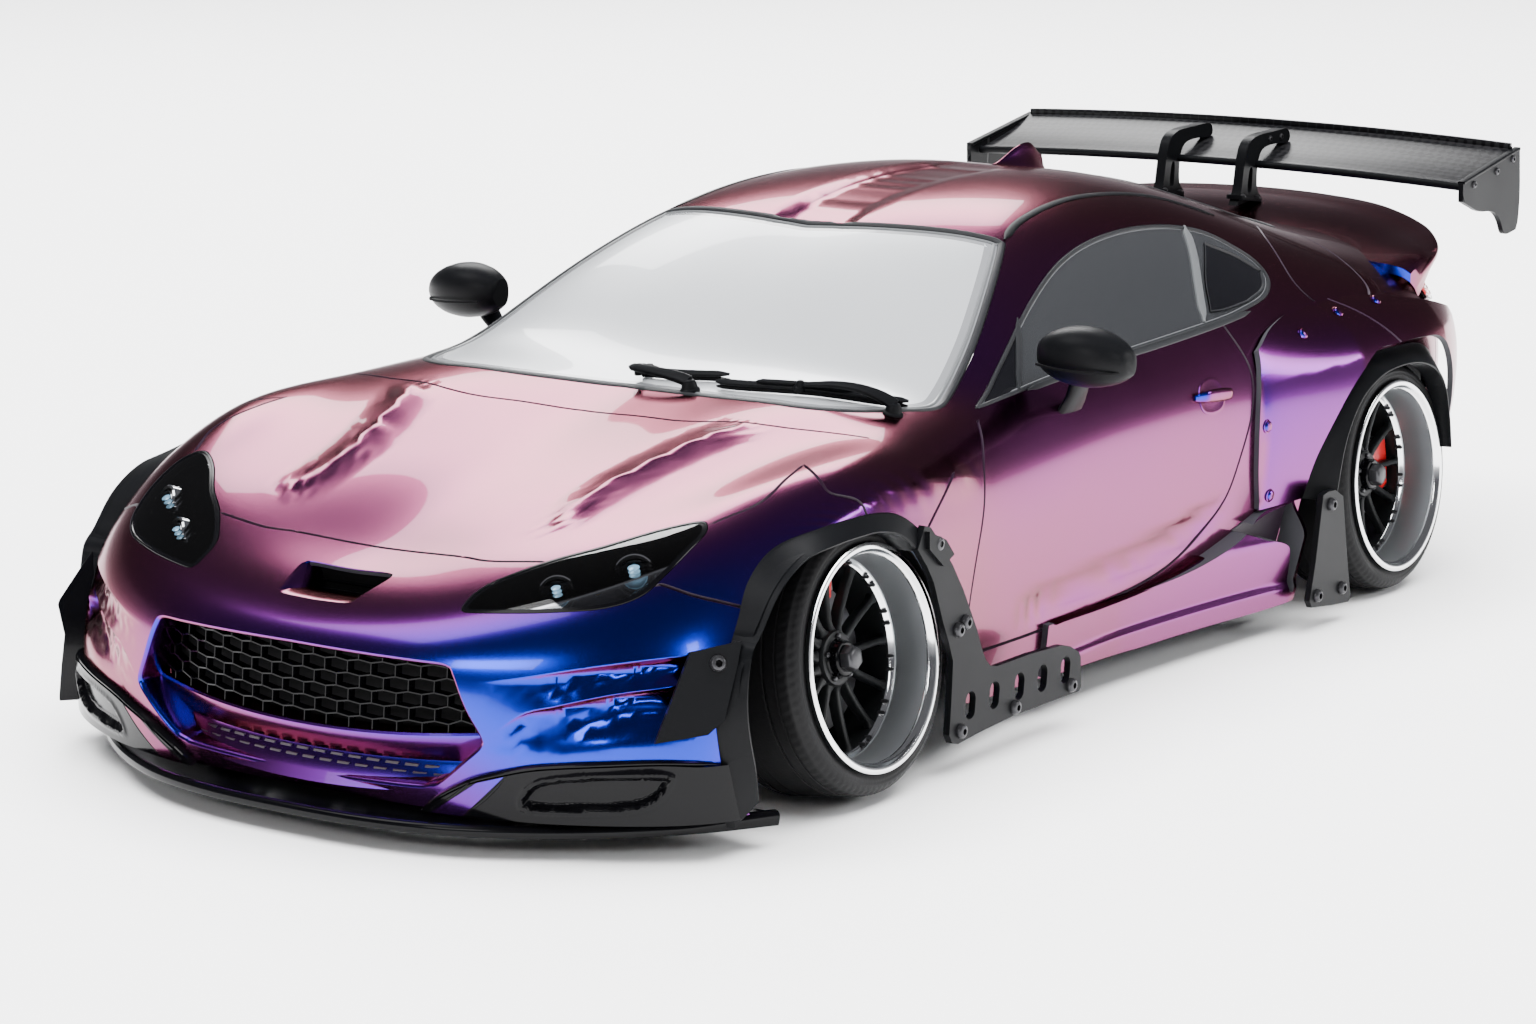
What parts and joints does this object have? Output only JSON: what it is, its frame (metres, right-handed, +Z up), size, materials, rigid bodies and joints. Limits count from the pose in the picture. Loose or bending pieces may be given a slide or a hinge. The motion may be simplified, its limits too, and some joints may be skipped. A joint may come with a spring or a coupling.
{
  "type": "rc drift car",
  "caption": "Radio controlled drift car with a wide coupe shell, colour shift paint, rear wing, deep dish wheels and a steered, sprung chassis.",
  "frame": {"origin": "on the ground under the centre of the outline", "axes": "-Y towards the nose, +X towards the driver's left, +Z up"},
  "size_m": [0.212, 0.451, 0.1203],
  "materials": {
    "shift_paint": "colour shifting gloss lacquer over moulded shell",
    "tinted_glass": "clear moulding with a light mirror tint",
    "gloss_black": "gloss black moulding",
    "smoked_red": "smoked red lamp lens",
    "satin_black": "satin black moulding",
    "dark_screws": "black oxide button head screws",
    "carbon_plate": "cut carbon fibre plate",
    "moulded_nylon": "filled nylon",
    "battery_case": "hard case",
    "machined_alloy": "machined and anodised",
    "foam": "closed cell foam",
    "damper_alloy": "anodised damper body and wound spring",
    "wheel_black": "satin black wheel with polished lip",
    "tyre_rubber": "hard drift compound",
    "gear_plastic": "machined gear",
    "gear_metal": "hardened pinion"
  },
  "bodies": {
    "chassis": {"chassis_plate": "carbon_plate", "front_bulkhead": "moulded_nylon", "rear_gearbox": "moulded_nylon", "shock_towers": "carbon_plate", "battery": "battery_case", "motor": "machined_alloy", "electronics": "moulded_nylon", "steering_servo": "moulded_nylon", "body_posts": "moulded_nylon", "bumper_foam": "foam", "dampers": "damper_alloy"},
    "shell": {"body_shell": "shift_paint", "glazing": "tinted_glass", "front_grille": "gloss_black", "headlights": "gloss_black", "headlight_lenses": "tinted_glass", "tail_lights": "smoked_red", "front_splitter": "gloss_black", "canards": "gloss_black", "front_arches": "satin_black", "rear_overfenders": "shift_paint", "rear_arches": "satin_black", "side_skirts": "shift_paint", "ducktail": "shift_paint", "wing_blade": "gloss_black", "wing_end_plates": "gloss_black", "wing_stays": "satin_black", "mirrors": "gloss_black", "wipers": "satin_black", "roof_fin": "shift_paint", "door_handles": "shift_paint", "body_screws": "dark_screws", "rear_diffuser": "satin_black"},
    "servo_horn": {"servo_horn": "machined_alloy"},
    "steering_rack": {"steering_rack": "machined_alloy"},
    "lower_arm_fl": {"lower_arm_fl": "moulded_nylon"},
    "upper_arm_fl": {"upper_arm_fl": "machined_alloy"},
    "carrier_fl": {"carrier_fl": "machined_alloy"},
    "wheel_fl": {"rim_fl": "wheel_black", "tyre_fl": "tyre_rubber"},
    "lower_arm_fr": {"lower_arm_fr": "moulded_nylon"},
    "upper_arm_fr": {"upper_arm_fr": "machined_alloy"},
    "carrier_fr": {"carrier_fr": "machined_alloy"},
    "wheel_fr": {"rim_fr": "wheel_black", "tyre_fr": "tyre_rubber"},
    "lower_arm_rl": {"lower_arm_rl": "moulded_nylon"},
    "upper_arm_rl": {"upper_arm_rl": "machined_alloy"},
    "carrier_rl": {"carrier_rl": "machined_alloy"},
    "wheel_rl": {"rim_rl": "wheel_black", "tyre_rl": "tyre_rubber"},
    "lower_arm_rr": {"lower_arm_rr": "moulded_nylon"},
    "upper_arm_rr": {"upper_arm_rr": "machined_alloy"},
    "carrier_rr": {"carrier_rr": "machined_alloy"},
    "wheel_rr": {"rim_rr": "wheel_black", "tyre_rr": "tyre_rubber"},
    "knuckle_l": {"knuckle_l": "machined_alloy"},
    "knuckle_r": {"knuckle_r": "machined_alloy"},
    "rear_axle": {"rear_axle": "machined_alloy"},
    "spur_gear": {"spur_gear": "gear_plastic"},
    "pinion_gear": {"pinion_gear": "gear_metal"}
  },
  "joints": [
    {"name": "shell_lift", "type": "slide", "parent": "chassis", "child": "shell", "axis": [0, 0, 1], "range_m": [0, 0.12]},
    {"name": "servo_turn", "type": "hinge", "parent": "chassis", "child": "servo_horn", "pos_m": [0, -0.097, 0.031], "axis": [0, 0, 1], "range_deg": [-35, 35]},
    {"name": "rack_slide", "type": "slide", "parent": "chassis", "child": "steering_rack", "axis": [1, 0, 0], "range_m": [-0.0072, 0.0072]},
    {"name": "steer_l", "type": "hinge", "parent": "carrier_fl", "child": "knuckle_l", "pos_m": [0.066, -0.131, 0.031], "axis": [0, 0, 1], "range_deg": [-24.5, 24.5]},
    {"name": "steer_r", "type": "hinge", "parent": "carrier_fr", "child": "knuckle_r", "pos_m": [-0.066, -0.131, 0.031], "axis": [0, 0, 1], "range_deg": [-24.5, 24.5]},
    {"name": "travel_fl", "type": "slide", "parent": "chassis", "child": "carrier_fl", "axis": [0, 0, 1], "range_m": [-0.0025, 0.0025], "stiffness_N_per_m": 1500, "springref_m": -0.00173},
    {"name": "lower_arm_fl", "type": "hinge", "parent": "chassis", "child": "lower_arm_fl", "pos_m": [0.016, -0.131, 0.014], "axis": [0, -1, 0], "range_deg": [-3.8, 3.8]},
    {"name": "upper_arm_fl", "type": "hinge", "parent": "chassis", "child": "upper_arm_fl", "pos_m": [0.0239, -0.131, 0.044], "axis": [0, -1, 0], "range_deg": [-4.7, 4.7]},
    {"name": "travel_fr", "type": "slide", "parent": "chassis", "child": "carrier_fr", "axis": [0, 0, 1], "range_m": [-0.0025, 0.0025], "stiffness_N_per_m": 1500, "springref_m": -0.00173},
    {"name": "lower_arm_fr", "type": "hinge", "parent": "chassis", "child": "lower_arm_fr", "pos_m": [-0.016, -0.131, 0.014], "axis": [0, 1, 0], "range_deg": [-3.8, 3.8]},
    {"name": "upper_arm_fr", "type": "hinge", "parent": "chassis", "child": "upper_arm_fr", "pos_m": [-0.0239, -0.131, 0.044], "axis": [0, 1, 0], "range_deg": [-4.7, 4.7]},
    {"name": "travel_rl", "type": "slide", "parent": "chassis", "child": "carrier_rl", "axis": [0, 0, 1], "range_m": [-0.0025, 0.0025], "stiffness_N_per_m": 1500, "springref_m": -0.00193},
    {"name": "lower_arm_rl", "type": "hinge", "parent": "chassis", "child": "lower_arm_rl", "pos_m": [0.016, 0.126, 0.014], "axis": [0, -1, 0], "range_deg": [-3.8, 3.8]},
    {"name": "upper_arm_rl", "type": "hinge", "parent": "chassis", "child": "upper_arm_rl", "pos_m": [0.0239, 0.126, 0.044], "axis": [0, -1, 0], "range_deg": [-4.7, 4.7]},
    {"name": "travel_rr", "type": "slide", "parent": "chassis", "child": "carrier_rr", "axis": [0, 0, 1], "range_m": [-0.0025, 0.0025], "stiffness_N_per_m": 1500, "springref_m": -0.00193},
    {"name": "lower_arm_rr", "type": "hinge", "parent": "chassis", "child": "lower_arm_rr", "pos_m": [-0.016, 0.126, 0.014], "axis": [0, 1, 0], "range_deg": [-3.8, 3.8]},
    {"name": "upper_arm_rr", "type": "hinge", "parent": "chassis", "child": "upper_arm_rr", "pos_m": [-0.0239, 0.126, 0.044], "axis": [0, 1, 0], "range_deg": [-4.7, 4.7]},
    {"name": "axle_spin", "type": "hinge", "parent": "chassis", "child": "rear_axle", "pos_m": [0, 0.126, 0.03], "axis": [1, 0, 0], "continuous": true},
    {"name": "spin_fl", "type": "hinge", "parent": "knuckle_l", "child": "wheel_fl", "pos_m": [0.08213, -0.131, 0.03189], "axis": [0.9903, 0, 0.1392], "continuous": true},
    {"name": "spin_fr", "type": "hinge", "parent": "knuckle_r", "child": "wheel_fr", "pos_m": [-0.08213, -0.131, 0.03189], "axis": [0.9903, 0, -0.1392], "continuous": true},
    {"name": "spin_rl", "type": "hinge", "parent": "carrier_rl", "child": "wheel_rl", "pos_m": [0.08303, 0.126, 0.03152], "axis": [0.9976, 0, 0.0698], "continuous": true},
    {"name": "spin_rr", "type": "hinge", "parent": "carrier_rr", "child": "wheel_rr", "pos_m": [-0.08303, 0.126, 0.03152], "axis": [0.9976, 0, -0.0698], "continuous": true},
    {"name": "spur_spin", "type": "hinge", "parent": "chassis", "child": "spur_gear", "pos_m": [-0.02, 0.093, 0.034], "axis": [1, 0, 0], "continuous": true},
    {"name": "pinion_spin", "type": "hinge", "parent": "chassis", "child": "pinion_gear", "pos_m": [-0.02, 0.0706, 0.031], "axis": [1, 0, 0], "continuous": true}
  ],
  "couplings": [
    {"joint": "rack_slide", "follows": "servo_turn", "m_per_rad": 0.0108},
    {"joint": "steer_l", "follows": "servo_turn", "ratio": -0.68571},
    {"joint": "steer_r", "follows": "servo_turn", "ratio": -0.68571},
    {"joint": "lower_arm_fl", "follows": "travel_fl", "rad_per_m": 25},
    {"joint": "upper_arm_fl", "follows": "travel_fl", "rad_per_m": 31.15},
    {"joint": "lower_arm_fr", "follows": "travel_fr", "rad_per_m": 25},
    {"joint": "upper_arm_fr", "follows": "travel_fr", "rad_per_m": 31.15},
    {"joint": "lower_arm_rl", "follows": "travel_rl", "rad_per_m": 25},
    {"joint": "upper_arm_rl", "follows": "travel_rl", "rad_per_m": 31.15},
    {"joint": "lower_arm_rr", "follows": "travel_rr", "rad_per_m": 25},
    {"joint": "upper_arm_rr", "follows": "travel_rr", "rad_per_m": 31.15},
    {"joint": "spin_rl", "follows": "axle_spin", "ratio": 1},
    {"joint": "spin_rr", "follows": "axle_spin", "ratio": 1},
    {"joint": "spur_spin", "follows": "axle_spin", "ratio": -2.5},
    {"joint": "pinion_spin", "follows": "axle_spin", "ratio": 7.5}
  ]
}
